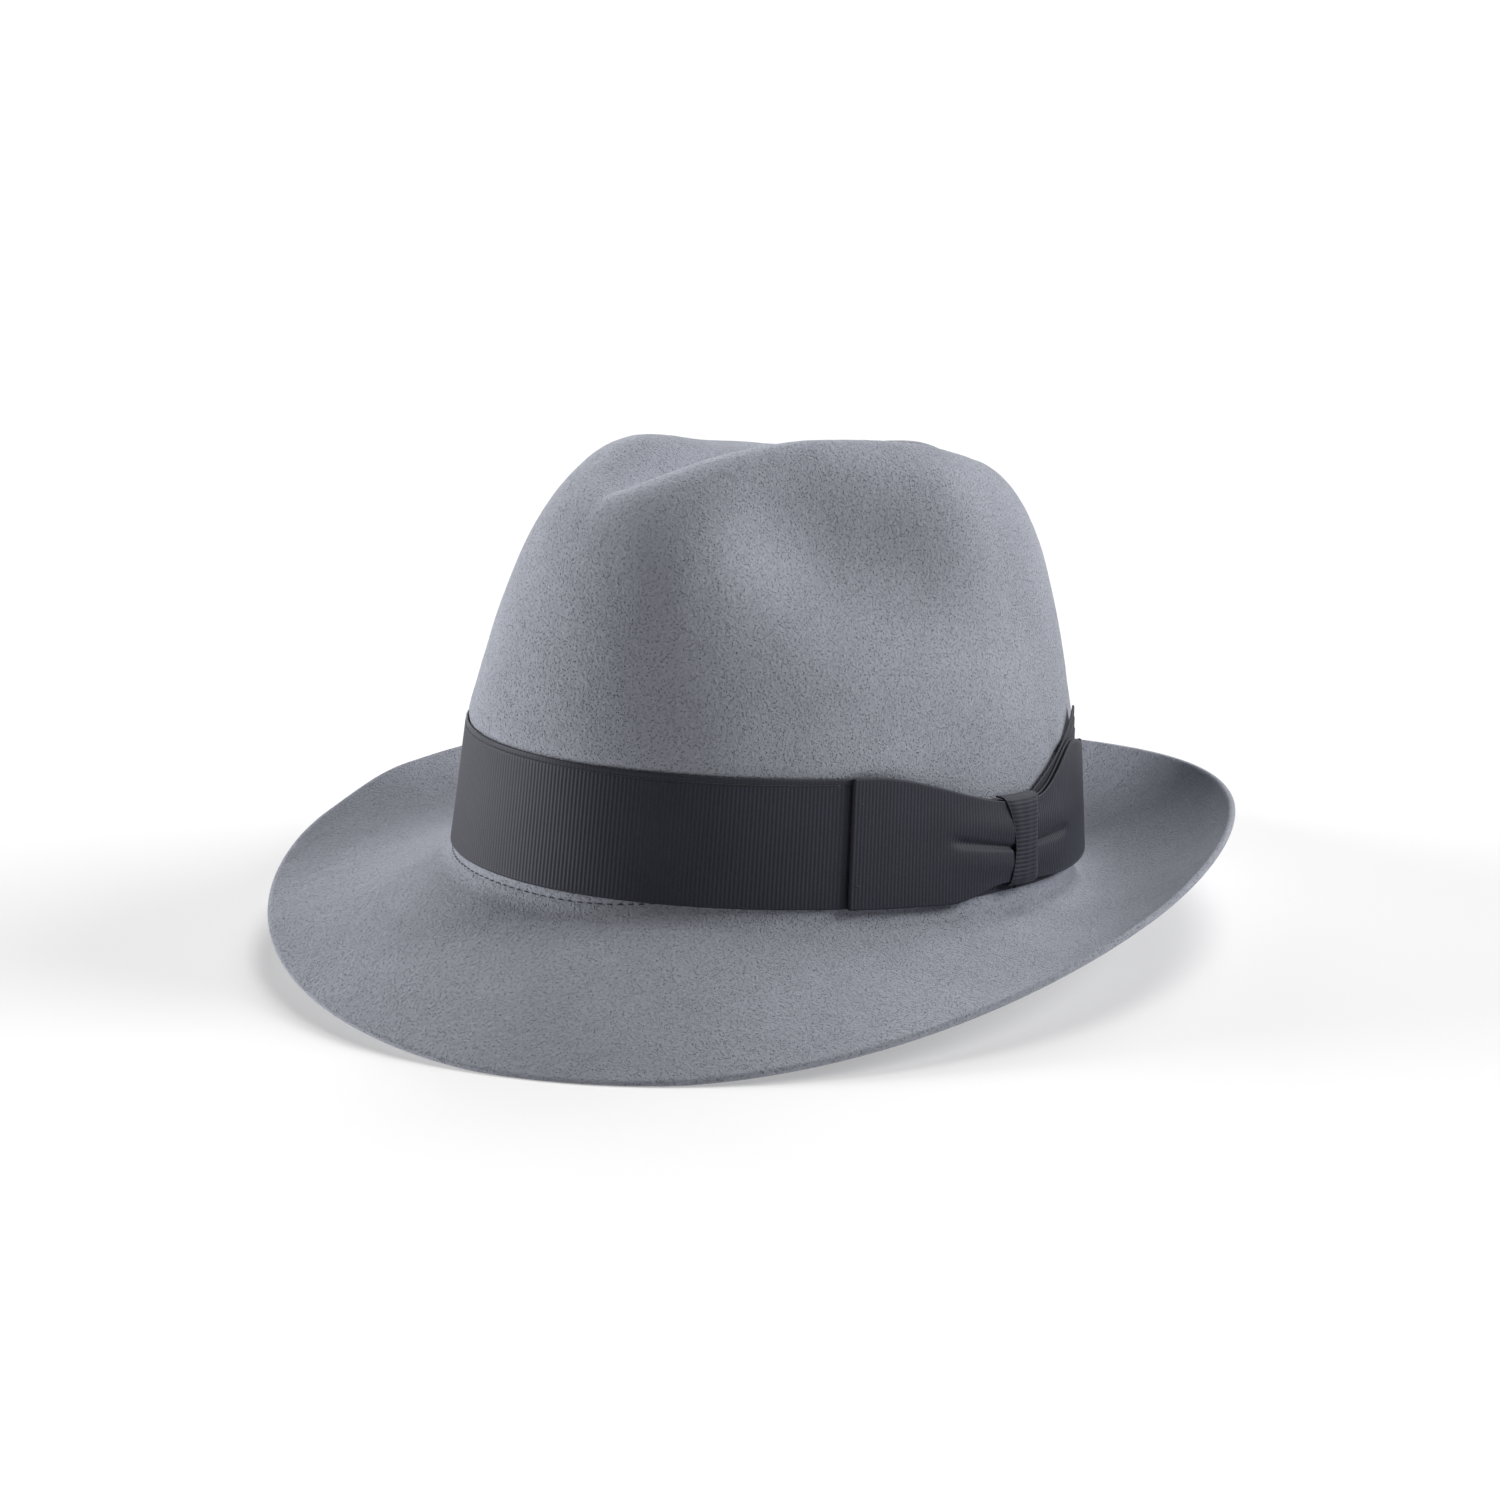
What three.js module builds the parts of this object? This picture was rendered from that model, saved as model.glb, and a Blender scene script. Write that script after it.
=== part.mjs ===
// A felt fedora with a grosgrain ribbon, a flat side bow, a leather sweatband and a satin lining.
// Millimetres, +Z up. The hat stands on a table: its front faces -Y and its wearer's left is +X.
// Every piece is drawn in the hat's own frame, where z = 0 is the bottom edge of the ribbon and
// theta, in degrees, runs round the head from the front (0) over the wearer's left (90) to the
// back (180). One group leans that frame back, as a hat lies on its front brim edge and the
// underside of its back brim.

import * as THREE from 'three';

// ---- driving dimensions -------------------------------------------------------------------

const REST = { lean: 7, lift: 22.9, back: 6.9 };

// Outer face of the ribbon at its bottom edge: an oval, narrower at the front than at the back.
const HEAD = { halfLength: 109.5, halfWidth: 86.3, egg: 0.057 };
const STEP = 6;

const FELT = 2;
const GAP = 0.35;

const RIBBON = { width: 38, thickness: 0.8, taper: { front: 1, side: 3.9, back: 5.5 } };

// The crown above the ribbon: a tapered dome with a crease along its top. Its top is a little
// lower on the wearer's right.
const CROWN = {
  height: 140,
  power: { radius: 0.5, height: 0.85 },
  taper: { front: 0.09, side: 0.24, back: 0.07 },
  rows: 14,
};
const CREASE = {
  depth: 35.7, x: 1.7, y: -3.6, skew: 0.09, reach: 69.3, halfWidth: [19.6, 25], sharpness: 1.33,
};
// Each side has a long dent, a pinch in front of it and a swelling that divides it from the
// back. They are shallow at the front of the wearer's right.
const DENTS = [
  { depth: 9.4, y: -6.1, z: 95.6, along: 43, across: 25.7, turn: -14.1 },
  { depth: 12, y: -44.3, z: 100.5, along: 26.6, across: 22.5, turn: 0 },
  { depth: -6.8, y: 6.7, z: 101.7, along: 21.6, across: 26.4, turn: -9.4 },
];
const RIGHT = { drop: 11.8, frontShare: 0.11 };

// The brim: its fillet under the ribbon, the slope it starts with, and its edge, whose level
// width and height are sums of waves round the head. Behind the wearer's right temple the
// edge turns up sharply.
const BRIM = { fillet: 5.3, rows: 6, drop: { front: 4.7, side: 4.7, back: 8.1 } };
const FILLET_STEPS = [0.35, 0.64, 1];
const brimWidth = (theta) => 48.7 + 6.5 * cosDeg(theta) - 2.7 * cosDeg(2 * theta);
const brimEdge = (theta) => -6.1 - 28.2 * cosDeg(theta) - 5.8 * cosDeg(2 * theta)
  + 0.6 * cosDeg(3 * theta) - 6.4 * sinDeg(2 * theta)
  + 2.2 * smooth((theta - 95) / 40) * smooth((292 - theta) / 16);
const brimStart = (theta) => -13 - 14 * cosDeg(theta);

// Inside the crown, as depths from the felt's outer face.
const LINING = { depth: FELT + 0.4, thickness: 0.6, bottom: 24, sideRows: 7 };
const SWEATBAND = { depth: 3.5, thickness: 1.1, bottom: -1.6, height: 38 };
const REED = { radius: 1, depth: 4.3, z: -3.4 };
const STITCH = 0.3;

// The bow on the wearer's left: the angles of its folds and its knot, and the heights of the
// knot. The ribbon's two ends meet under the knot.
const BOW = {
  front: 62, back: 135, tailEnd: 127, seam: 97.5,
  knot: { front: 93.2, back: 101.6, bottom: 3, top: 29.6 },
  cloth: 0.5, lift: 0.3, foldGap: 0.3,
};

// ---- the head oval -------------------------------------------------------------------------

function cosDeg(angle) {
  return Math.cos(THREE.MathUtils.degToRad(angle));
}

function sinDeg(angle) {
  return Math.sin(THREE.MathUtils.degToRad(angle));
}

function smooth(x) {
  return THREE.MathUtils.smoothstep(x, 0, 1);
}

// A value given at the front, the sides and the back, blended round the head.
function around(theta, { front, side, back }) {
  const c = cosDeg(theta);
  return (c > 0 ? front : back) * c * c + side * (1 - c * c);
}

// The point a distance outside the ribbon's bottom edge, at a height above it.
function atHead(theta, outside, z) {
  const { halfLength, halfWidth, egg } = HEAD;
  const tangent = new THREE.Vector2(
    halfWidth * (cosDeg(theta) - egg * cosDeg(2 * theta)),
    halfLength * sinDeg(theta),
  ).normalize();
  return new THREE.Vector3(
    halfWidth * sinDeg(theta) * (1 - egg * cosDeg(theta)) + tangent.y * outside,
    -halfLength * cosDeg(theta) - tangent.x * outside,
    z,
  );
}

// The same, measured from the ribbon's face, which leans in as it rises.
function atRibbon(theta, outside, z) {
  const leanIn = around(theta, RIBBON.taper) * Math.max(z, 0) / RIBBON.width;
  return atHead(theta, outside - leanIn, z);
}

function atWall(theta, depth, z) {
  return atRibbon(theta, -RIBBON.thickness - GAP - depth, z);
}

// Angles from one end to the other, through every multiple of STEP between them.
function angles(from, to) {
  const inner = [];
  for (let a = Math.floor(from / STEP + 1) * STEP; a < to - 0.5; a += STEP) {
    inner.push(a);
  }
  return [from, ...inner, to];
}

const RING = Array.from({ length: 360 / STEP }, (_, i) => i * STEP);

// ---- sheets: a grid of face points, thickened into one closed body ---------------------------

// The grid pushed back from its face. Rows run up the face and columns to its right, as seen
// from outside. A ring closes on itself, and a pole is a last row that is one point.
function pushBack(grid, distance, { ring = false, pole = false } = {}) {
  const columns = grid[0].length;
  const lastRow = grid.length - 1;
  const side = (c) => (ring ? (c + columns) % columns : THREE.MathUtils.clamp(c, 0, columns - 1));
  return grid.map((row, r) => {
    const below = grid[Math.max(r - 1, 0)];
    const above = grid[Math.min(r + 1, lastRow)];
    const normals = row.map((_, c) => {
      const across = row[side(c + 1)].clone().sub(row[side(c - 1)]);
      const up = above[c].clone().sub(below[c]);
      return across.cross(up).normalize();
    });
    if (pole && r === lastRow) {
      const up = new THREE.Vector3(0, 0, 1);
      return row.map((point) => point.clone().addScaledVector(up, -distance));
    }
    return row.map((point, c) => point.clone().addScaledVector(normals[c], -distance));
  });
}

function sheet(grid, thickness, options = {}) {
  const { ring = false, pole = false, settle = (point) => point } = options;
  const rows = grid.length;
  const columns = grid[0].length;
  const positions = [];
  const sides = [grid, pushBack(grid, thickness, options)].map((face) => {
    const index = face.map((row, r) => row.map((point, c) => {
      if (pole && r === rows - 1 && c > 0) {
        return null;
      }
      positions.push(...settle(point).toArray());
      return positions.length / 3 - 1;
    }));
    return (r, c) => (pole && r === rows - 1 ? index[r][0] : index[r][c % columns]);
  });
  const triangles = [];
  const triangle = (a, b, c) => {
    if (a !== b && b !== c && c !== a) triangles.push(a, b, c);
  };
  const quad = (a, b, c, d) => {
    triangle(a, b, c);
    triangle(a, c, d);
  };
  const [front, back] = sides;
  const spans = ring ? columns : columns - 1;
  for (let c = 0; c < spans; c += 1) {
    for (let r = 0; r < rows - 1; r += 1) {
      quad(front(r, c), front(r, c + 1), front(r + 1, c + 1), front(r + 1, c));
      quad(back(r, c), back(r + 1, c), back(r + 1, c + 1), back(r, c + 1));
    }
    quad(back(0, c), back(0, c + 1), front(0, c + 1), front(0, c));
    if (!pole) {
      quad(front(rows - 1, c), front(rows - 1, c + 1), back(rows - 1, c + 1), back(rows - 1, c));
    }
  }
  if (!ring) {
    for (let r = 0; r < rows - 1; r += 1) {
      const last = columns - 1;
      quad(back(r, 0), front(r, 0), front(r + 1, 0), back(r + 1, 0));
      quad(front(r, last), back(r, last), back(r + 1, last), front(r + 1, last));
    }
  }
  const geometry = new THREE.BufferGeometry();
  geometry.setAttribute('position', new THREE.Float32BufferAttribute(positions, 3));
  geometry.setIndex(triangles);
  geometry.computeVertexNormals();
  return geometry;
}

// A closed cord round the head, with a square section turned on its corner.
function ringCord(centre, radius) {
  const rows = [0, 1, 2, 3].map((k) => RING.map((theta) => {
    const { outside, z } = centre(theta);
    return atHead(theta, outside + radius * sinDeg(90 * k), z + radius * -cosDeg(90 * k));
  }));
  const geometry = new THREE.BufferGeometry();
  const count = RING.length;
  const triangles = [];
  for (let k = 0; k < 4; k += 1) {
    for (let c = 0; c < count; c += 1) {
      const [a, b] = [k * count + c, k * count + (c + 1) % count];
      const [e, d] = [((k + 1) % 4) * count + c, ((k + 1) % 4) * count + (c + 1) % count];
      triangles.push(a, b, d, a, d, e);
    }
  }
  geometry.setAttribute('position',
    new THREE.Float32BufferAttribute(rows.flat().flatMap((p) => p.toArray()), 3));
  geometry.setIndex(triangles);
  geometry.computeVertexNormals();
  return geometry;
}

// ---- materials and the hat's group -----------------------------------------------------------

function cloth(color, roughness) {
  return new THREE.MeshStandardMaterial({ color, roughness, metalness: 0 });
}

const materials = {
  felt: cloth(0x8f9096, 0.95),
  grosgrain: cloth(0x3b3d42, 0.8),
  thread: cloth(0x2b2c30, 0.8),
  leather: cloth(0x3a2a20, 0.55),
  satin: cloth(0x6a6c74, 0.4),
  tape: cloth(0x26211d, 0.7),
  reed: cloth(0xd8d2c0, 0.5),
};

const fedora = new THREE.Group();
const hat = new THREE.Group();
hat.rotation.x = THREE.MathUtils.degToRad(-REST.lean);
hat.position.set(0, REST.back, REST.lift);
fedora.add(hat);

function add(name, geometry, material) {
  const mesh = new THREE.Mesh(geometry, material);
  mesh.name = name;
  hat.add(mesh);
}

// ---- felt: the crown and the brim, one piece ---------------------------------------------------

// The rise of the crown from the ribbon (0, at full radius) to its middle (radius 0).
class CrownRise extends THREE.Curve {
  getPoint(t) {
    const turn = 90 * (1 - (1 - t) ** 2.5);
    const radius = t < 1 ? cosDeg(turn) ** CROWN.power.radius : 0;
    return new THREE.Vector2(radius, sinDeg(turn) ** CROWN.power.height);
  }
}

function crownPoint(theta, radius, rise) {
  const base = atWall(theta, 0, RIBBON.width);
  const scale = radius * (1 - around(theta, CROWN.taper) * rise);
  const p = new THREE.Vector3(base.x * scale, base.y * scale, 0);
  p.z = RIBBON.width + (CROWN.height - RIBBON.width) * rise;
  p.z -= RIGHT.drop * smooth(-p.x / 32) * smooth((p.y + 63) / 74) * smooth(rise);
  p.z -= CREASE.depth * creaseShare(p.x, p.y) * smooth(rise * 1.6 - 0.4);
  const side = Math.tanh(p.x / 15);
  const { lerp } = THREE.MathUtils;
  const share = lerp(lerp(RIGHT.frontShare, 1, smooth((p.y + 30) / 50)), 1, (1 + side) / 2);
  p.x -= side * share * DENTS.reduce((sum, dent) => sum + dent.depth * bump(p, dent), 0);
  return p;
}

function creaseShare(x, y) {
  const halfWidth = THREE.MathUtils.lerp(...CREASE.halfWidth, smooth((y + 53) / 106));
  const across = Math.abs((x - CREASE.x - CREASE.skew * y) / halfWidth);
  const along = Math.abs((y - CREASE.y) / CREASE.reach);
  return Math.exp(-(across ** CREASE.sharpness) - along ** 4);
}

function bump(p, { y, z, along, across, turn }) {
  const u = ((p.y - y) * cosDeg(turn) + (p.z - z) * sinDeg(turn)) / along;
  const v = ((p.z - z) * cosDeg(turn) - (p.y - y) * sinDeg(turn)) / across;
  return Math.exp(-u * u - v * v);
}

// The brim's section at one angle, from its edge to the wall: (distance outside the ribbon, z).
function brimSection(theta) {
  const wall = -RIBBON.thickness - GAP;
  const corner = new THREE.Vector2(wall, -around(theta, BRIM.drop));
  const start = new THREE.Vector2(cosDeg(brimStart(theta)), sinDeg(brimStart(theta)));
  const inner = corner.clone().addScaledVector(start, BRIM.fillet);
  const edge = new THREE.Vector2(brimWidth(theta), brimEdge(theta));
  const chord = edge.clone().sub(inner);
  const reach = chord.length() / 3;
  const end = new THREE.Vector2(1, 0).rotateAround(
    new THREE.Vector2(),
    2 * chord.angle() - start.angle(),
  );
  const brim = new THREE.CubicBezierCurve(
    edge,
    edge.clone().addScaledVector(end, -reach),
    inner.clone().addScaledVector(start, reach),
    inner,
  );
  const top = corner.clone().add(new THREE.Vector2(0, BRIM.fillet + 1));
  const fillet = new THREE.QuadraticBezierCurve(inner, corner, top);
  return [...brim.getPoints(BRIM.rows), ...FILLET_STEPS.map((t) => fillet.getPoint(t))];
}

const brimRows = (() => {
  const sections = RING.map(brimSection);
  return sections[0].map((_, r) => RING.map((theta, c) => {
    const { x, y } = sections[c][r];
    return atHead(theta, x, y);
  }));
})();
const wallRow = RING.map((theta) => atWall(theta, 0, BRIM.fillet));
const crownRows = new CrownRise().getSpacedPoints(CROWN.rows)
  .map(({ x, y }) => RING.map((theta) => crownPoint(theta, x, y)));
const feltRows = [...brimRows, wallRow, ...crownRows];

// The felt gives where it meets the table: points below it are pressed up to it.
function settle(point) {
  const up = new THREE.Vector3(0, -sinDeg(REST.lean), cosDeg(REST.lean));
  const height = point.dot(up) + REST.lift;
  return height < 0 ? point.clone().addScaledVector(up, -height) : point;
}

function buildFelt() {
  const options = { ring: true, pole: true, settle };
  add('felt_body', sheet(feltRows, FELT, options), materials.felt);
}

// ---- ribbon, its draw thread and the bow --------------------------------------------------------

// Heights of the ribbon's bottom and top edges, which the bow draws together.
function bandEdges(theta) {
  const turn = theta % 360;
  const drawn = smooth((turn - 64) / 32) * smooth((118 - turn) / 18);
  const lifted = smooth((turn - 80) / 14) * smooth((150 - turn) / 12);
  return [0.3 + 2.6 * lifted, RIBBON.width - 10.2 * drawn];
}

function buildRibbon() {
  const columns = angles(BOW.seam + 0.3, BOW.seam + 359.7);
  const band = [0, 1].map((edge) => columns
    .map((theta) => atRibbon(theta, 0, bandEdges(theta)[edge])));
  add('ribbon_band', sheet(band, RIBBON.thickness), materials.grosgrain);
  // The draw thread shows from one end of the bow round to the other.
  const shown = angles(BOW.back + 5, 360 + BOW.front - 2);
  const thread = [0, STITCH]
    .map((rise) => shown.map((theta) => atRibbon(theta, 0.3 + STITCH, RIBBON.width - 1.8 + rise)));
  add('ribbon_draw_thread', sheet(thread, STITCH), materials.thread);
}

// A loop is a ribbon folded over at its end, both layers gathered under the knot. Along the
// loop, t runs from the knot (0) to the fold (1), and edges gives the heights of its edges.
function loopGrid(knot, fold, innerLift, rise, edges) {
  const outerLift = innerLift + 2 * BOW.cloth + BOW.foldGap;
  const steps = [0, 0.15, 0.35, 0.6, 0.85, 0.98];
  const inner = steps.map((t) => ({ t, outside: innerLift }));
  const tip = [{ t: 1, outside: (innerLift + outerLift) / 2 }];
  const outer = steps.slice().reverse().map((t) => ({
    t, outside: outerLift + rise * smooth((0.9 - t) / 0.6),
  }));
  const path = [...inner, ...tip, ...outer];
  if (fold > knot) {
    path.reverse();
  }
  return [0, 0.25, 0.5, 0.75, 1].map((share) => path.map(({ t, outside }) => {
    const z = THREE.MathUtils.lerp(...edges(t), share);
    return atRibbon(THREE.MathUtils.lerp(knot, fold, t), outside, z);
  }));
}

const frontEdges = (t) => [
  0.2 + 4 * smooth((0.45 - t) / 0.34),
  RIBBON.width + 0.4 - 10.4 * smooth((0.9 - t) / 0.9),
];
const rearEdges = (t) => [
  2.8 + 1.2 * smooth((0.4 - t) / 0.4),
  RIBBON.width + 2.6 - 12.6 * smooth((0.55 - t) / 0.45) - 4.6 * smooth((t - 0.55) / 0.4),
];

function buildBow() {
  const { knot, cloth, lift, foldGap, seam } = BOW;
  const front = loopGrid(seam - 0.7, BOW.front, lift, 1.2, frontEdges);
  add('bow_front_loop', sheet(front, cloth), materials.grosgrain);
  const rear = loopGrid(seam + 0.7, BOW.back, lift + cloth + foldGap, 0.6, rearEdges);
  add('bow_rear_loop', sheet(rear, cloth), materials.grosgrain);

  // The tail slants up from the knot.
  const tailStart = knot.back - 3;
  const tail = [0, 0.5, 1].map((share) => angles(tailStart, BOW.tailEnd).map((theta) => {
    const t = (theta - tailStart) / (BOW.tailEnd - tailStart);
    return atRibbon(theta, lift + cloth, THREE.MathUtils.lerp(7 + 9 * t, 26 + 24 * t, share));
  }));
  add('bow_tail', sheet(tail, cloth), materials.grosgrain);

  const { bottom, top } = knot;
  const wrap = [
    [0.5, bottom], [3.6, bottom], [4.4, bottom + 1.5], [4.5, (bottom + top) / 2],
    [4.4, top - 1.5], [3.6, top], [0.5, top],
  ];
  const turns = [0, 1 / 3, 2 / 3, 1].map((t) => THREE.MathUtils.lerp(knot.front, knot.back, t));
  const knotGrid = wrap.map(([outside, z]) => turns.map((theta) => atRibbon(theta, outside, z)));
  add('bow_knot', sheet(knotGrid, cloth), materials.grosgrain);

  for (const [name, z] of [['bow_tack_upper', 31], ['bow_tack_lower', 7]]) {
    const stitch = [z, z + 0.6].map((height) => [BOW.front + 1.5, BOW.front + 2.7]
      .map((theta) => atRibbon(theta, lift + 2 * cloth + foldGap + 0.3 + STITCH, height)));
    add(name, sheet(stitch, STITCH), materials.thread);
  }
}

// ---- lining ------------------------------------------------------------------------------------

function buildLining() {
  const ring = { ring: true };
  const dome = { ring: true, pole: true };
  const inside = pushBack(feltRows, LINING.depth, dome).slice(-crownRows.length);
  const hem = RING.map((theta) => atWall(theta, LINING.depth, LINING.bottom));
  const side = [hem, ...inside.slice(0, LINING.sideRows)];
  add('lining_side_band', sheet(side, LINING.thickness, ring), materials.satin);
  const [seam, next] = inside.slice(LINING.sideRows - 1);
  const start = seam.map((point, c) => point.clone().lerp(next[c], 0.1));
  const tip = [start, ...inside.slice(LINING.sideRows)];
  add('lining_tip', sheet(tip, LINING.thickness, dome), materials.satin);
}

// ---- sweatband -----------------------------------------------------------------------------------

function buildSweatband() {
  const { depth, thickness, bottom, height } = SWEATBAND;
  const [start, end] = [180.4, 539.6];
  const columns = angles(start, end);
  const band = [bottom, 18, bottom + height]
    .map((z) => columns.map((theta) => atWall(theta, depth, z)));
  add('sweatband', sheet(band, thickness), materials.leather);

  const wall = -RIBBON.thickness - GAP;
  const reed = () => ({ outside: wall - REED.depth, z: REED.z });
  add('sweatband_reed', ringCord(reed, REED.radius), materials.reed);

  const room = REED.radius + 0.3;
  const fold = [180, 225, 270, 315, 360].map((turn) => RING.map((theta) => {
    const reach = room + STITCH;
    const outside = wall - REED.depth + reach * cosDeg(turn);
    return atHead(theta, outside, REED.z + 0.2 + reach * sinDeg(turn));
  }));
  add('reed_tape', sheet(fold, STITCH, { ring: true }), materials.tape);

  const seam = { depth: depth + thickness + 0.35 };
  const patch = [2, 32].map((z) => [183.2, 176.8].map((theta) => atWall(theta, seam.depth, z)));
  add('sweatband_seam_tape', sheet(patch.map((row) => row.reverse()), 0.5), materials.tape);

  // The stitches go through the felt at the second step of the fillet.
  const stitching = (theta) => {
    const point = brimSection(theta)[BRIM.rows + 2];
    return { outside: point.x + 0.45, z: point.y + 0.5 };
  };
  add('sweatband_stitching', ringCord(stitching, STITCH / 2), materials.thread);
}

buildFelt();
buildRibbon();
buildBow();
buildLining();
buildSweatband();

export default fedora;
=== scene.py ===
"""A grey felt fedora on a pale floor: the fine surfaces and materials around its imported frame."""

import math

import bmesh
import bpy
import numpy as np
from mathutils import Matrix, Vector


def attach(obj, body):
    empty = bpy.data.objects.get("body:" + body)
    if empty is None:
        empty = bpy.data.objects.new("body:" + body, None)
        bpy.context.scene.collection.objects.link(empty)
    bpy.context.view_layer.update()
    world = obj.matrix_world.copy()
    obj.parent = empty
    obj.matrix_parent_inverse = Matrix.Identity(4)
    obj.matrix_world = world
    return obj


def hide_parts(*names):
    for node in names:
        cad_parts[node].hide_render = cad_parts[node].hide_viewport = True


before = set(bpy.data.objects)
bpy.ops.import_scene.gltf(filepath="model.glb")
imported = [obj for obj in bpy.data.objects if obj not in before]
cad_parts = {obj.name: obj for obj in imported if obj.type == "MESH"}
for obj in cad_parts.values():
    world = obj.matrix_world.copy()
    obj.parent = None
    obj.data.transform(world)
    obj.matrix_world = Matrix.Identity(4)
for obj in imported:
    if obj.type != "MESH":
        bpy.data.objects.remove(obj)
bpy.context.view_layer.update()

MM = 0.001

# ---- driving dimensions, in millimetres and degrees --------------------------------------------

# The hat's own frame has z = 0 at the ribbon's bottom edge. theta runs round the head from the
# front (0) over the wearer's left (90) to the back (180). The hat leans back on the table.
LEAN = math.radians(7)
LIFT, BACK = 22.9, 6.9

HALF_LENGTH, HALF_WIDTH, EGG = 109.5, 86.3, 0.057
FELT = 2.0
RIBBON_WIDTH, RIBBON_THICKNESS, GAP = 38.0, 0.8, 0.35
RIBBON_TAPER = (1.0, 3.9, 5.5)

CROWN_HEIGHT = 140.0
CROWN_POWER = (0.5, 0.85)
CROWN_TAPER = (0.09, 0.24, 0.07)
CREASE = dict(depth=35.7, x=1.7, y=-3.6, skew=0.09, reach=69.3, half_width=(19.6, 25.0), sharpness=1.33)
# Each side has a long dent, a pinch in front of it and a swelling that divides it from the back.
DENT = dict(depth=9.4, y=-6.1, z=95.6, along=43.0, across=25.7, turn=-14.1)
PINCH = dict(depth=12.0, y=-44.3, z=100.5, along=26.6, across=22.5, turn=0.0)
SWELLING = dict(depth=-6.8, y=6.7, z=101.7, along=21.6, across=26.4, turn=-9.4)
RIGHT_DROP, RIGHT_FRONT = 11.8, 0.11

# The felt's mesh has this many rows in its fillet and in the wall behind the ribbon.
FILLET = 5.3
FILLET_ROWS, WALL_ROWS = 22, 12
# The felt's unevenness as layers of (depth, size), its swell above the ribbon and its groove.
UNEVENNESS = ((0.22, 46), (0.07, 13), (0.03, 5))
SWELL_HEIGHT, SWELL_ROWS = 0.85, 7
GROOVE_DEPTH, GROOVE_ROWS = 0.4, 1.3
BREAK_DROP = (4.7, 4.7, 8.1)
STITCH_PLACE = (0.64, 1.0)
STITCH_PITCH, STITCH_SHARE, STITCH_RADIUS = 3.1, 0.62, 0.17

# The ribbon's cross ribs, and how many steps of the mesh each one takes.
RIB, RIB_HEIGHT, RIB_STEPS = 1.25, 0.06, 6
DRAW_THREAD_DROP, DRAW_THREAD_RADIUS = 1.65, 0.15

LINING_DEPTH, LINING_THICKNESS, LINING_BOTTOM = FELT + 0.4, 0.6, 24.0
LINING_SEAM = 6 / 14  # share of the way up the crown where the side band meets the tip
SWEATBAND_DEPTH, SWEATBAND_THICKNESS = 3.5, 1.1
SWEATBAND_BOTTOM, SWEATBAND_TOP = -1.6, 36.4
REED_RADIUS, REED_DEPTH, REED_Z = 1.0, 4.3, -3.4
REED_TAPE_REACH, REED_TAPE_THICKNESS = REED_RADIUS + 0.6, 0.3
SEAM_TAPE_SIDES, SEAM_TAPE_ENDS, SEAM_TAPE_THICKNESS = (176.8, 183.2), (2, 32), 0.5

# The bow's folds and the knot that gathers it, as angles, and the heights at the knot.
BOW_FRONT, BOW_BACK, TAIL_END = 62.0, 135.0, 127.0
KNOT_FRONT, KNOT_BACK = 93.2, 101.6
KNOT_BOTTOM, KNOT_TOP = 3.0, 29.6
BAND_SEAM = 97.5
CLOTH, BOW_LIFT, FOLD_GAP = 0.5, 0.3, 0.3
# A loop is a little longer than the straight way from the knot to its fold.
LOOP_SLACK, LOOP_STEPS = 1.04, 90
# How far each loop's upper layer stands off, and the crease between its gathers: its height
# at the knot and where it ends, and the share of the loop that it runs.
FRONT_RISE, FRONT_CREASE = 1.2, (13.8, 18.5, 0.46)
REAR_RISE, REAR_CREASE = 0.6, (14.5, 15.5, 0.42)
# Heights of the tail's edges at the knot and at its cut end, and its points' number and depth.
TAIL_BOTTOM, TAIL_TOP, TAIL_WIDTH = (7, 16), (26, 50), 30
TAIL_POINTS, POINT_DEPTH = 10, 0.04
KNOT_WIDTH = 14
TACK_HEIGHTS = {"bow_tack_upper": 31.2, "bow_tack_lower": 7.2}
TACK_RADIUS = 0.2

# A curve is measured along this many points before it is cut into equal steps.
MEASURED_POINTS = 2000

# The camera's place: angles, distance from its target, and the target's shift and height.
CAMERA_AZIMUTH, CAMERA_ELEVATION, CAMERA_DISTANCE = 40.07, 16.43, 1477
TARGET_SHIFT, TARGET_HEIGHT = -4.0, 52.0
LENS, SENSOR_WIDTH = 115.85, 36
AMBIENT, SUN_ANGLE = 0.005, 28


# ---- the hat's shape -------------------------------------------------------------------------------

def cos_deg(angle):
    return np.cos(np.radians(angle))


def sin_deg(angle):
    return np.sin(np.radians(angle))


def smooth(x):
    t = np.clip(x, 0, 1)
    return t * t * (3 - 2 * t)


def mix(a, b, share):
    return a + (b - a) * share


def around(theta, values):
    """A value given at the front, the sides and the back, blended round the head."""
    front, side, back = values
    c = cos_deg(theta)
    return np.where(c > 0, front, back) * c * c + side * (1 - c * c)


def at_head(theta, outside, z):
    """Points a distance outside the ribbon's bottom edge, at a height above it."""
    theta, outside, z = np.broadcast_arrays(theta, outside, z)
    c, s = cos_deg(theta), sin_deg(theta)
    tx = HALF_WIDTH * (c - EGG * cos_deg(2 * theta))
    ty = HALF_LENGTH * s
    size = np.hypot(tx, ty)
    x = HALF_WIDTH * s * (1 - EGG * c) + ty / size * outside
    y = -HALF_LENGTH * c - tx / size * outside
    return np.stack([x, y, z], -1).astype(float)


def at_ribbon(theta, outside, z):
    """The same, measured from the ribbon's face, which leans in as it rises."""
    lean_in = around(theta, RIBBON_TAPER) * np.maximum(z, 0) / RIBBON_WIDTH
    return at_head(theta, outside - lean_in, z)


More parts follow.
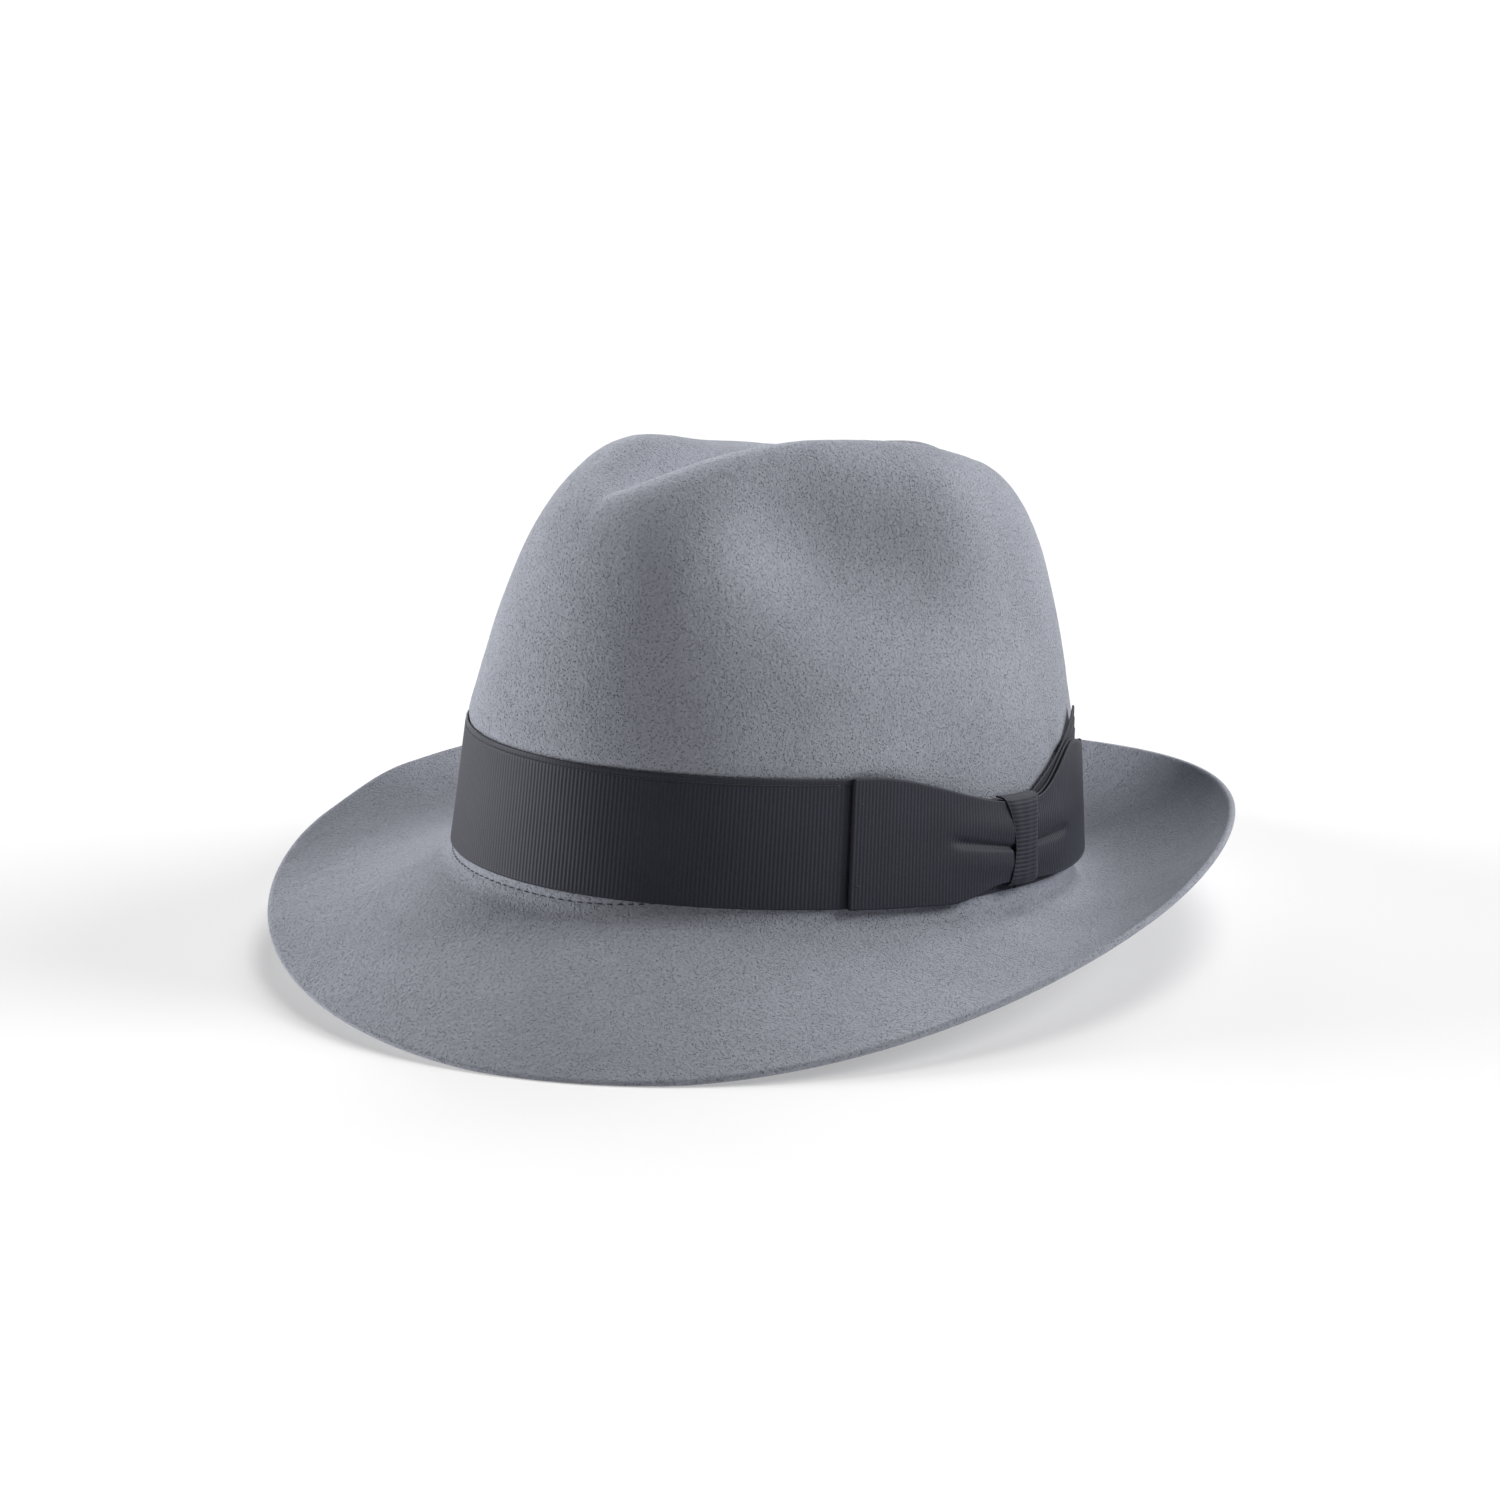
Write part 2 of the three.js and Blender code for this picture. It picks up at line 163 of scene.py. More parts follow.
def band_edges(theta):
    """Heights of the ribbon's bottom and top edges, which the bow draws together."""
    theta = theta % 360
    drawn = smooth((theta - 64) / 32) * smooth((118 - theta) / 18)
    lifted = smooth((theta - 80) / 14) * smooth((150 - theta) / 12)
    return 0.3 + 0.8 * lifted, RIBBON_WIDTH - 10.2 * drawn


def at_wall(theta, depth, z):
    return at_ribbon(theta, -RIBBON_THICKNESS - GAP - depth, z)


def brim_width(theta):
    return 48.7 + 6.5 * cos_deg(theta) - 2.7 * cos_deg(2 * theta)


def brim_edge(theta):
    return (-6.1 - 28.2 * cos_deg(theta) - 5.8 * cos_deg(2 * theta)
            + 0.6 * cos_deg(3 * theta) - 6.4 * sin_deg(2 * theta)
            + 2.2 * smooth((theta - 95) / 40) * smooth((292 - theta) / 16))


def brim_start(theta):
    return -13 - 14 * cos_deg(theta)


def stitch_place(theta):
    """Where the stitches go through the fillet: in sight at the front and hidden elsewhere."""
    return mix(*STITCH_PLACE, smooth((0.96 - cos_deg(theta + 10)) / 0.3))


def brim_corner(theta):
    """Corner of the fillet under the ribbon and the brim's inner end: (outside, z) each."""
    wall = -RIBBON_THICKNESS - GAP + 0 * theta
    corner = np.stack([wall, -around(theta, BREAK_DROP)], -1)
    slope = np.stack([cos_deg(brim_start(theta)), sin_deg(brim_start(theta))], -1)
    return corner, corner + FILLET * slope, slope


def brim_curve(theta, t):
    """The brim's section from its edge (t = 0) to the fillet (t = 1)."""
    _, inner, slope = brim_corner(theta)
    edge = np.stack([brim_width(theta), brim_edge(theta)], -1)
    chord = edge - inner
    reach = np.linalg.norm(chord, axis=-1, keepdims=True) / 3
    end_angle = (2 * np.arctan2(chord[..., 1], chord[..., 0])
                 - np.arctan2(slope[..., 1], slope[..., 0]))
    end = np.stack([np.cos(end_angle), np.sin(end_angle)], -1)
    t = t[..., None]
    return ((1 - t) ** 3 * edge + 3 * t * (1 - t) ** 2 * (edge - reach * end)
            + 3 * t * t * (1 - t) * (inner + reach * slope) + t ** 3 * inner)


def fillet_curve(theta, t):
    """The fillet from the brim (t = 0) up to the wall (t = 1)."""
    corner, inner, _ = brim_corner(theta)
    top = corner + np.array([0.0, FILLET + 1])
    t = t[..., None]
    return (1 - t) ** 2 * inner + 2 * t * (1 - t) * corner + t * t * top


def bump_shape(y, z, shape):
    turn = math.radians(shape["turn"])
    dy, dz = y - shape["y"], z - shape["z"]
    u = (dy * math.cos(turn) + dz * math.sin(turn)) / shape["along"]
    v = (dz * math.cos(turn) - dy * math.sin(turn)) / shape["across"]
    return np.exp(-u * u - v * v)


def crease_share(x, y):
    half_width = mix(*CREASE["half_width"], smooth((y + 53) / 106))
    across = np.abs((x - CREASE["x"] - CREASE["skew"] * y) / half_width)
    along = np.abs((y - CREASE["y"]) / CREASE["reach"])
    return np.exp(-across ** CREASE["sharpness"] - along ** 4)


def crown_points(theta, radius, rise):
    base = at_wall(theta, 0, RIBBON_WIDTH)
    scale = radius * (1 - around(theta, CROWN_TAPER) * rise)
    x, y = base[..., 0] * scale, base[..., 1] * scale
    z = RIBBON_WIDTH + (CROWN_HEIGHT - RIBBON_WIDTH) * rise
    z = z - RIGHT_DROP * smooth(-x / 32) * smooth((y + 63) / 74) * smooth(rise)
    z = z - CREASE["depth"] * crease_share(x, y) * smooth(rise * 1.6 - 0.4)
    side = np.tanh(x / 15)
    share = mix(mix(RIGHT_FRONT, 1, smooth((y + 30) / 50)), 1, (1 + side) / 2)
    dents = sum(shape["depth"] * bump_shape(y, z, shape) for shape in (DENT, PINCH, SWELLING))
    return np.stack([x - side * share * dents, y, z], -1)


def crown_steps(count):
    """(radius, rise) pairs from the ribbon to the crown's middle, evenly spaced along it."""
    t = np.linspace(0, 1, MEASURED_POINTS)
    turn = 90 * (1 - (1 - t) ** 2.5)
    radius = np.maximum(cos_deg(turn), 0) ** CROWN_POWER[0]
    radius[-1] = 0
    rise = sin_deg(turn) ** CROWN_POWER[1]
    length = np.concatenate([[0], np.cumsum(np.hypot(np.diff(radius), np.diff(rise)))])
    at = np.linspace(0, length[-1], count)
    return np.interp(at, length, radius), np.interp(at, length, rise)


def stand(points):
    """Points of the hat's own frame, as the hat leans on the table."""
    x, y, z = points[..., 0], points[..., 1], points[..., 2]
    c, s = math.cos(LEAN), math.sin(LEAN)
    return np.stack([x, y * c + z * s + BACK, z * c - y * s + LIFT], -1)


def waves(points, size, seed):
    """Smooth unevenness between about -1 and 1, with features of that size."""
    rng = np.random.default_rng(seed)
    total = np.zeros(points.shape[:-1])
    for _ in range(10):
        direction = rng.normal(size=3)
        direction *= rng.uniform(0.6, 1.4) / (np.linalg.norm(direction) * size)
        total += np.sin(2 * np.pi * (points @ direction) + rng.uniform(0, 2 * np.pi))
    return total / 4


# ---- meshes ----------------------------------------------------------------------------------------

def grid_normals(grid, ring):
    if ring:
        across = np.roll(grid, -1, 1) - np.roll(grid, 1, 1)
    else:
        across = np.gradient(grid, axis=1)
    up = np.gradient(grid, axis=0)
    normals = np.cross(across, up)
    size = np.linalg.norm(normals, axis=-1, keepdims=True)
    return normals / np.maximum(size, 1e-9)


def sheet_mesh(name, grid, thickness, relief=None, ring=False, pole=False, rim=2, settle=False,
               uv=None):
    """A closed sheet: its face with its relief, its back, and a slightly rounded rim of a few rows.

    Rows run up the face and columns to its right. A ring closes on itself, and a pole is a last
    row that is one point. uv holds the place of each grid point on the flat cloth.
    """
    normals = grid_normals(grid, ring)
    if pole:
        normals[-1] = (0, 0, 1)
    face = grid if relief is None else grid + normals * relief[..., None]
    back = grid - normals * thickness
    rows, columns = grid.shape[:2]
    steps = np.linspace(0, 1, rim + 2)[1:-1, None, None]
    rounding = 0.25 * thickness * np.sin(np.pi * steps)
    low = mix(face[0], back[0], steps) + rounding * unit(grid[0] - grid[1])
    high = mix(back[-1], face[-1], steps) + rounding * unit(grid[-1] - grid[-2])
    loop = np.concatenate([face[::-1], low, back] + ([] if pole else [high]))
    points = stand(loop)
    if settle:
        points[..., 2] = np.maximum(points[..., 2], 0)
    index = np.arange(len(loop) * columns).reshape(len(loop), columns)
    if pole:
        index[0] = index[0, 0]
        index[-1] = index[-1, 0]
    closed = index if pole else np.concatenate([index, index[:1]])
    if ring:
        closed = np.concatenate([closed, closed[:, :1]], 1)
    quads = np.stack([closed[:-1, :-1], closed[1:, :-1], closed[1:, 1:], closed[:-1, 1:]], -1)
    faces = [tuple(dict.fromkeys(quad)) for quad in quads.reshape(-1, 4).tolist()]
    if not ring:
        faces += side_caps(index, rows, rim)
    mesh = bpy.data.meshes.new(name)
    mesh.from_pydata((points * MM).reshape(-1, 3).tolist(), [], faces)
    if uv is not None:
        low_rim, high_rim = np.repeat(uv[:1], rim, 0), np.repeat(uv[-1:], rim, 0)
        flat = np.concatenate([uv[::-1], low_rim, uv] + ([] if pole else [high_rim]))
        add_uv(mesh, flat.reshape(-1, 2) * MM)
    return finish_mesh(name, mesh)


def finish_mesh(name, mesh):
    remove_loose(mesh)
    mesh.polygons.foreach_set("use_smooth", [True] * len(mesh.polygons))
    obj = bpy.data.objects.new(name, mesh)
    bpy.context.scene.collection.objects.link(obj)
    return obj


def unit(vectors):
    return vectors / np.maximum(np.linalg.norm(vectors, axis=-1, keepdims=True), 1e-9)


def side_caps(index, rows, rim):
    """The two cut ends of a sheet that isn't a ring, as strips between its face and its back."""
    faces = []
    for column, flip in ((0, False), (index.shape[1] - 1, True)):
        front = index[:rows, column][::-1]
        back = index[rows + rim:2 * rows + rim, column]
        for r in range(rows - 1):
            quad = [int(front[r]), int(front[r + 1]), int(back[r + 1]), int(back[r])]
            faces.append(tuple(quad if flip else quad[::-1]))
        low = [int(v) for v in index[rows - 1:rows + rim + 1, column]]
        high = [int(v) for v in index[2 * rows + rim - 1:, column]] + [int(index[0, column])]
        for strip in (low, high):
            if len(strip) > 2:
                faces.append(tuple(strip[::-1] if flip else strip))
    return faces


def add_uv(mesh, flat):
    layer = mesh.uv_layers.new(name="weave")
    corner_vertex = np.zeros(len(mesh.loops), dtype=int)
    mesh.loops.foreach_get("vertex_index", corner_vertex)
    layer.data.foreach_set("uv", flat[corner_vertex].ravel())


def tube_mesh(name, path, radius, sides=8, closed=True):
    """A round cord through the points of a path, closed on itself or with pointed ends."""
    if closed:
        along = unit(np.roll(path, -1, 0) - np.roll(path, 1, 0))
    else:
        along = unit(np.gradient(path, axis=0))
    side = unit(np.cross(along, [0.0, 0.0, 1.0]))
    up = np.cross(side, along)
    turn = np.linspace(0, 2 * np.pi, sides, endpoint=False)[:, None, None]
    size = np.full(len(path), float(radius))
    if not closed:
        size[[0, -1]] = 0.02 * radius
    rings = path + size[:, None] * (np.cos(turn) * side + np.sin(turn) * up)
    count = len(path)
    index = np.arange(sides * count).reshape(sides, count)
    index = np.concatenate([index, index[:1]])
    if closed:
        index = np.concatenate([index, index[:, :1]], 1)
    quads = np.stack([index[:-1, :-1], index[:-1, 1:], index[1:, 1:], index[1:, :-1]], -1)
    faces = quads.reshape(-1, 4).tolist()
    if not closed:
        faces += [index[:-1, 0].tolist(), index[:-1, -1].tolist()[::-1]]
    mesh = bpy.data.meshes.new(name)
    mesh.from_pydata((stand(rings) * MM).reshape(-1, 3).tolist(), [], faces)
    return finish_mesh(name, mesh)


def join(objects, name):
    """The first object, with the meshes of the others joined into it."""
    first = objects[0]
    with bpy.context.temp_override(active_object=first, selected_editable_objects=objects):
        bpy.ops.object.join()
    first.name = name
    return first


def remove_loose(mesh):
    """Drops the vertices that a pole left unused."""
    used = np.zeros(len(mesh.vertices), dtype=bool)
    corner_vertex = np.zeros(len(mesh.loops), dtype=int)
    mesh.loops.foreach_get("vertex_index", corner_vertex)
    used[corner_vertex] = True
    if used.all():
        return
    bm = bmesh.new()
    bm.from_mesh(mesh)
    bm.verts.ensure_lookup_table()
    bmesh.ops.delete(bm, geom=[bm.verts[int(i)] for i in np.nonzero(~used)[0]], context="VERTS")
    bm.to_mesh(mesh)
    bm.free()


def finish_piece(obj, material, node):
    """Gives a piece its finish and puts it in the place of its CAD node."""
    obj.name = node + "_look"
    obj.data.materials.append(material)
    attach(obj, "root")
    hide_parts(node)
    return obj


# ---- materials -------------------------------------------------------------------------------------

class Nodes:
    """A material's node tree, with short calls to add and join its nodes."""

    def __init__(self, name):
        self.material = bpy.data.materials.new(name)
        self.material.use_nodes = True
        self.tree = self.material.node_tree
        self.shader = self.tree.nodes["Principled BSDF"]
        self.coords = self.tree.nodes.new("ShaderNodeTexCoord")
        self.height = None

    def link(self, output, target):
        self.tree.links.new(output, target)

    def noise(self, scale, detail=3.0, roughness=0.55, stretch=None, source="Object"):
        node = self.tree.nodes.new("ShaderNodeTexNoise")
        node.inputs["Scale"].default_value = scale
        node.inputs["Detail"].default_value = detail
        node.inputs["Roughness"].default_value = roughness
        self.link(self.placed(source, stretch), node.inputs["Vector"])
        return node.outputs["Fac"]

    def cells(self, scale, feature="F1"):
        node = self.tree.nodes.new("ShaderNodeTexVoronoi")
        node.feature = feature
        node.inputs["Scale"].default_value = scale
        self.link(self.coords.outputs["Object"], node.inputs["Vector"])
        return node.outputs["Distance"]

    def placed(self, source, stretch):
        output = self.coords.outputs[source]
        if stretch is None:
            return output
        node = self.tree.nodes.new("ShaderNodeMapping")
        node.inputs["Scale"].default_value = stretch
        self.link(output, node.inputs["Vector"])
        return node.outputs["Vector"]

    def bands(self, pitch, axis):
        """Lines of that pitch in metres across one axis of the flat cloth."""
        node = self.tree.nodes.new("ShaderNodeTexWave")
        node.bands_direction = axis
        node.wave_profile = "SIN"
        node.inputs["Scale"].default_value = math.pi / 10 / pitch
        self.link(self.coords.outputs["UV"], node.inputs["Vector"])
        return node.outputs["Fac"]

    def math(self, operation, a, b):
        node = self.tree.nodes.new("ShaderNodeMath")
        node.operation = operation
        for value, socket in ((a, node.inputs[0]), (b, node.inputs[1])):
            if isinstance(value, (int, float)):
                socket.default_value = value
            else:
                self.link(value, socket)
        return node.outputs[0]

    def range(self, value, low, high, to_low=0.0, to_high=1.0):
        node = self.tree.nodes.new("ShaderNodeMapRange")
        limits = {"From Min": low, "From Max": high, "To Min": to_low, "To Max": to_high}
        for name, number in limits.items():
            node.inputs[name].default_value = number
        self.link(value, node.inputs["Value"])
        return node.outputs["Result"]

    def ramp(self, value, *stops):
        """Colours at places along a value: (place, (r, g, b)) each."""
        node = self.tree.nodes.new("ShaderNodeValToRGB")
        elements = node.color_ramp.elements
        while len(elements) < len(stops):
            elements.new(0.5)
        for element, (place, colour) in zip(elements, stops):
            element.position = place
            element.color = (*colour, 1)
        self.link(value, node.inputs["Fac"])
        return node.outputs["Color"]

    def mix(self, kind, share, a, b):
        node = self.tree.nodes.new("ShaderNodeMix")
        node.data_type = "RGBA"
        node.blend_type = kind
        for value, name in ((share, "Factor"), (a, "A"), (b, "B")):
            socket = node.inputs[name]
            if isinstance(value, (int, float)):
                socket.default_value = value
            elif isinstance(value, tuple):
                socket.default_value = (*value, 1)
            else:
                self.link(value, socket)
        return node.outputs["Result"]

    def bump(self, value, depth):
        """Adds relief of that depth, in millimetres, to what was added before."""
        node = self.tree.nodes.new("ShaderNodeBump")
        node.inputs["Distance"].default_value = depth * MM
        node.inputs["Strength"].default_value = 1.0
        self.link(value, node.inputs["Height"])
        if self.height is not None:
            self.link(self.height, node.inputs["Normal"])
        self.height = node.outputs["Normal"]

    def done(self, colour, **constants):
        self.link(colour, self.shader.inputs["Base Color"])
        if self.height is not None:
            self.link(self.height, self.shader.inputs["Normal"])
        for name, value in constants.items():
            socket = self.shader.inputs[name.replace("_", " ")]
            if isinstance(value, (int, float, tuple)):
                socket.default_value = value
            else:
                self.link(value, socket)
        return self.material


def felt_material():
    """Brushed fur felt: soft mottling, a pebbly nap and small pits, darkened with painted shade."""
    n = Nodes("felt")
    broad = n.noise(26, 3)
    nap = n.noise(1100, 3, 0.6)
    pits_and_painted_shade = n.range(n.cells(1300), 0.06, 0.32)
    tone = n.math("ADD", n.math("MULTIPLY", broad, 0.35), n.math("MULTIPLY", nap, 0.65))
    base = n.ramp(tone, (0.3, (0.25, 0.262, 0.3)), (0.7, (0.38, 0.395, 0.448)))
    # Painted shade: the colour is darkened in the pits, where the bump sinks.
    colour = n.mix("MULTIPLY", 0.7, base, n.ramp(pits_and_painted_shade, (0.0, (0.3, 0.3, 0.33)), (1.0, (1, 1, 1))))
    n.bump(n.noise(420, 3, 0.6), 0.18)
    n.bump(nap, 0.4)
    n.bump(pits_and_painted_shade, 0.35)
    return n.done(colour, Roughness=0.95, Specular_IOR_Level=0.15, Sheen_Weight=0.22,
                  Sheen_Roughness=0.45, Sheen_Tint=(0.72, 0.76, 0.84, 1))


def grosgrain_material():
    """Ribbed ribbon: fine warp threads along it over the cross ribs of its mesh, with painted light and
    shade striped across it at the ribs' pitch.
    """
    n = Nodes("grosgrain")
    # Painted light and shade: stripes of lighter and darker colour at the pitch of the mesh's cross
    # ribs.
    rib_painted_shading = n.bands(RIB * MM, "X")
    warp = n.noise(2600, 3, 0.6, stretch=(0.3, 1, 1), source="UV")
    broad = n.noise(60, 2)
    tone = n.math("ADD", n.math("MULTIPLY", rib_painted_shading, 0.2),
                  n.math("ADD", n.math("MULTIPLY", warp, 0.55), n.math("MULTIPLY", broad, 0.25)))
    colour = n.ramp(tone, (0.25, (0.013, 0.0137, 0.0215)), (0.75, (0.034, 0.0362, 0.055)))
    n.bump(warp, 0.05)
    return n.done(colour, Roughness=0.62, Specular_IOR_Level=0.35, Sheen_Weight=0.11,
                  Sheen_Roughness=0.4, Sheen_Tint=(0.9, 0.95, 1, 1))


def thread_material():
    n = Nodes("thread")
    twist = n.noise(2600, 3, 0.6)
    colour = n.ramp(twist, (0.3, (0.03, 0.031, 0.037)), (0.7, (0.07, 0.073, 0.085)))
    n.bump(twist, 0.04)
    return n.done(colour, Roughness=0.7, Specular_IOR_Level=0.3)


def leather_material():
    """Sweatband leather: pebbled grain, creases and a slightly worn face."""
    n = Nodes("sweatband_leather")
    wear = n.noise(34, 4)
    grain = n.range(n.cells(900, "DISTANCE_TO_EDGE"), 0.0, 0.25)
    colour = n.ramp(wear, (0.25, (0.035, 0.019, 0.012)), (0.75, (0.085, 0.048, 0.03)))
    n.bump(n.noise(160, 3), 0.12)
    n.bump(grain, 0.06)
    rough = n.range(wear, 0.2, 0.8, 0.42, 0.6)
    return n.done(colour, Roughness=rough, Specular_IOR_Level=0.45)


def satin_material():
    n = Nodes("satin")
    thread = n.noise(900, 3, 0.6, stretch=(1, 0.25, 1))
    broad = n.noise(40, 2)
    tone = n.math("ADD", n.math("MULTIPLY", thread, 0.5), n.math("MULTIPLY", broad, 0.5))
    colour = n.ramp(tone, (0.3, (0.11, 0.112, 0.125)), (0.7, (0.17, 0.172, 0.19)))
    n.bump(thread, 0.03)
    return n.done(colour, Roughness=0.34, Specular_IOR_Level=0.55, Sheen_Weight=0.2)


def tape_material():
    n = Nodes("cotton_tape")
    weave = n.noise(1500, 3, 0.6)
    colour = n.ramp(weave, (0.3, (0.02, 0.017, 0.014)), (0.7, (0.05, 0.043, 0.036)))
    n.bump(weave, 0.06)
    return n.done(colour, Roughness=0.85, Specular_IOR_Level=0.2)


def reed_material():
    n = Nodes("reed")
    streaks = n.noise(300, 3)
    colour = n.ramp(streaks, (0.3, (0.6, 0.56, 0.46)), (0.7, (0.72, 0.68, 0.58)))
    return n.done(colour, Roughness=0.45)


# ---- felt ------------------------------------------------------------------------------------------

def felt_face(columns, brim_rows, crown_rows):
    """The outer face of the felt: rows from the brim's edge to the middle of the crown."""
    theta = np.arange(columns) * 360 / columns
    parts = []
    for t in np.linspace(0, 1, brim_rows)[:-1]:
        at = brim_curve(theta, np.full(columns, t))
        parts.append(at_head(theta, at[:, 0], at[:, 1]))
    for t in np.linspace(0, 1, FILLET_ROWS):
        at = fillet_curve(theta, np.full(columns, t))
        parts.append(at_head(theta, at[:, 0], at[:, 1]))
    for z in np.linspace(FILLET, RIBBON_WIDTH, WALL_ROWS)[:-1]:
        parts.append(at_wall(theta, 0, z))
    for radius, rise in zip(*crown_steps(crown_rows)):
        parts.append(crown_points(theta, radius, rise))
    return np.stack(parts)


def build_felt(material):
    columns, brim_rows, crown_rows = 420, 46, 130
    face = felt_face(columns, brim_rows, crown_rows)
    theta = np.arange(columns) * 360 / columns
    uneven = sum(depth * waves(face, size, seed)
                 for seed, (depth, size) in enumerate(UNEVENNESS, 1))
    rows = np.arange(len(face))[:, None]
    first_fillet, last_fillet = brim_rows - 1, brim_rows + FILLET_ROWS - 2
    crown_start = len(face) - crown_rows
    free = smooth((first_fillet + 12 - rows) / 8) + smooth((rows - crown_start + 1) / 8)
    stitch_row = mix(first_fillet, last_fillet, stitch_place(theta))
    sunk = 0.75 + 0.25 * waves(face, 9, 5)
    groove = GROOVE_DEPTH * sunk * np.exp(-((rows - stitch_row) / GROOVE_ROWS) ** 2)
    # The band draws the felt in, so the crown swells just above it, away from the bow.
    above = rows - crown_start
    fading = np.exp(-(np.maximum(above - 2, 0) / SWELL_ROWS) ** 2)
    swell = SWELL_HEIGHT * smooth((above + 0.5) / 2.5) * fading
    swell = swell * smooth((band_edges(theta)[1] - RIBBON_WIDTH + 3) / 3)
    relief = uneven * free - groove + swell
    relief[-1] = relief[-2].mean()
    obj = sheet_mesh("felt_hat_body", face, FELT, relief, ring=True, pole=True, rim=4, settle=True)
    return finish_piece(obj, material, "felt_body")


# ---- ribbon and bow --------------------------------------------------------------------------------

def along_head(start, end, spacing, height=0.5 * RIBBON_WIDTH):
    """Angles at equal distances along the ribbon, and those distances."""
    theta = np.linspace(start, end, MEASURED_POINTS)
    step = np.linalg.norm(np.diff(at_ribbon(theta, 0, height), axis=0), axis=1)
    length = np.concatenate([[0], np.cumsum(step)])
    at = np.linspace(0, length[-1], round(length[-1] / spacing) + 1)
    return np.interp(at, length, theta), at


def ribs(length):
    """Relief of the ribbon's cross ribs at places along it."""
    return RIB_HEIGHT * np.cos(2 * np.pi * length / RIB)


def flat_places(along, across):
    return np.stack(np.broadcast_arrays(along[None, :], across[:, None]), -1)


def build_ribbon(ribbon, thread):
    theta, along = along_head(BAND_SEAM + 0.3, BAND_SEAM + 359.7, RIB / RIB_STEPS)
    share = np.array([0, 0.01, 0.03, *np.linspace(0.08, 0.9, 9), 0.938, 0.947, 0.956, 0.965,
                      0.976, 0.988, 1])[:, None]
    grid = at_ribbon(theta, 0, mix(*band_edges(theta), share))
    ribbed = np.where((share > 0.01) & (share < 0.95), 1.0, 0.35)
    groove = 0.14 * np.exp(-((share - 0.956) / 0.006) ** 2)
    relief = ribbed * ribs(along) + 0.06 * waves(grid, 24, 4) - groove
    places = flat_places(along, share[:, 0] * RIBBON_WIDTH)
    band = sheet_mesh("ribbon_band", grid, RIBBON_THICKNESS, relief, uv=places)
    finish_piece(band, ribbon, "ribbon_band")

    theta, _ = along_head(BOW_BACK + 5, 360 + BOW_FRONT - 2, 0.8)
    path = at_ribbon(theta, 0.0, RIBBON_WIDTH - DRAW_THREAD_DROP)
    cord = tube_mesh("ribbon_draw_thread", path, DRAW_THREAD_RADIUS, closed=False)
    return band, finish_piece(cord, thread, "ribbon_draw_thread")


def loop_path(knot, fold, lift, rise):
    """Along a loop and back: distance, share of its length, distance outside, and 1 past its fold."""
    middle = 0.5 * RIBBON_WIDTH
    length = np.linalg.norm(at_ribbon(knot, 0, middle) - at_ribbon(fold, 0, middle)) * LOOP_SLACK
    radius = CLOTH + FOLD_GAP / 2
    flat = np.linspace(0, 1 - radius / length, LOOP_STEPS)
    turn = np.linspace(-90, 90, 19)[1:-1]
    t = np.concatenate([flat, 1 - radius / length * (1 - cos_deg(turn)), flat[::-1]])
    outside = np.concatenate([
        np.full(LOOP_STEPS, lift),
        lift + radius * (1 + sin_deg(turn)),
        lift + 2 * radius + rise * smooth((0.9 - flat[::-1]) / 0.6),
    ])
    past = np.concatenate([np.zeros(LOOP_STEPS), 0.5 + 0.5 * sin_deg(turn), np.ones(LOOP_STEPS)])
    step = np.hypot(np.diff(t) * length, np.diff(outside))
    along = np.concatenate([[0], np.cumsum(step)])
    at = np.linspace(0, along[-1], round(along[-1] / RIB * RIB_STEPS))
    places = [np.interp(at, along, values) for values in (t, outside, past)]
    return (at, *places)


def build_loop(name, material, knot, fold, lift, rise, edges, crease):
    """A ribbon folded over at its end, both layers gathered under the knot.

    edges gives the heights of its edges along it. crease is the height of the fold between its
    gathers, at the knot and where it ends, and how far along it runs.
    """
    along, t, outside, past = loop_path(knot, fold, lift, rise)
    if fold > knot:
        along, t, outside, past = along[::-1], t[::-1], outside[::-1], past[::-1]
    share = np.linspace(0, 1, 73)[:, None]
    low, high = edges(t)
    z = mix(low, high, share)
    at_knot, at_end, reach = crease
    height = mix(at_knot, at_end, np.clip(t / reach, 0, 1))
    depth = past * smooth((reach + 0.04 - t) / 0.12)
    valley = np.exp(-((z - height) / mix(0.7, 1.5, np.clip(t / reach, 0, 1))) ** 2)
    lobe = np.exp(-((z - height - 5.5) / 4.5) ** 2) + 0.7 * np.exp(-((z - height + 5) / 4) ** 2)
    swell = past * smooth((reach + 0.25 - t) / (reach + 0.25)) * lobe
    grid = at_ribbon(mix(knot, fold, t), outside + 0.9 * swell - 1.1 * depth * valley, z)
    selvedge = np.where(np.abs(share - 0.5) < 0.475, 1.0, 0.3)
    relief = selvedge * ribs(along)[None, :]
    obj = sheet_mesh(name, grid, CLOTH, relief, uv=flat_places(along, share[:, 0] * RIBBON_WIDTH))
    return finish_piece(obj, material, name)


def front_edges(t):
    return 0.2 + 4.0 * smooth((0.45 - t) / 0.34), RIBBON_WIDTH + 0.4 - 10.4 * smooth((0.9 - t) / 0.9)


def rear_edges(t):
    gathered, rounded = smooth((0.55 - t) / 0.45), smooth((t - 0.55) / 0.4)
    return 2.8 + 1.2 * smooth((0.4 - t) / 0.4), RIBBON_WIDTH + 2.6 - 12.6 * gathered - 4.6 * rounded


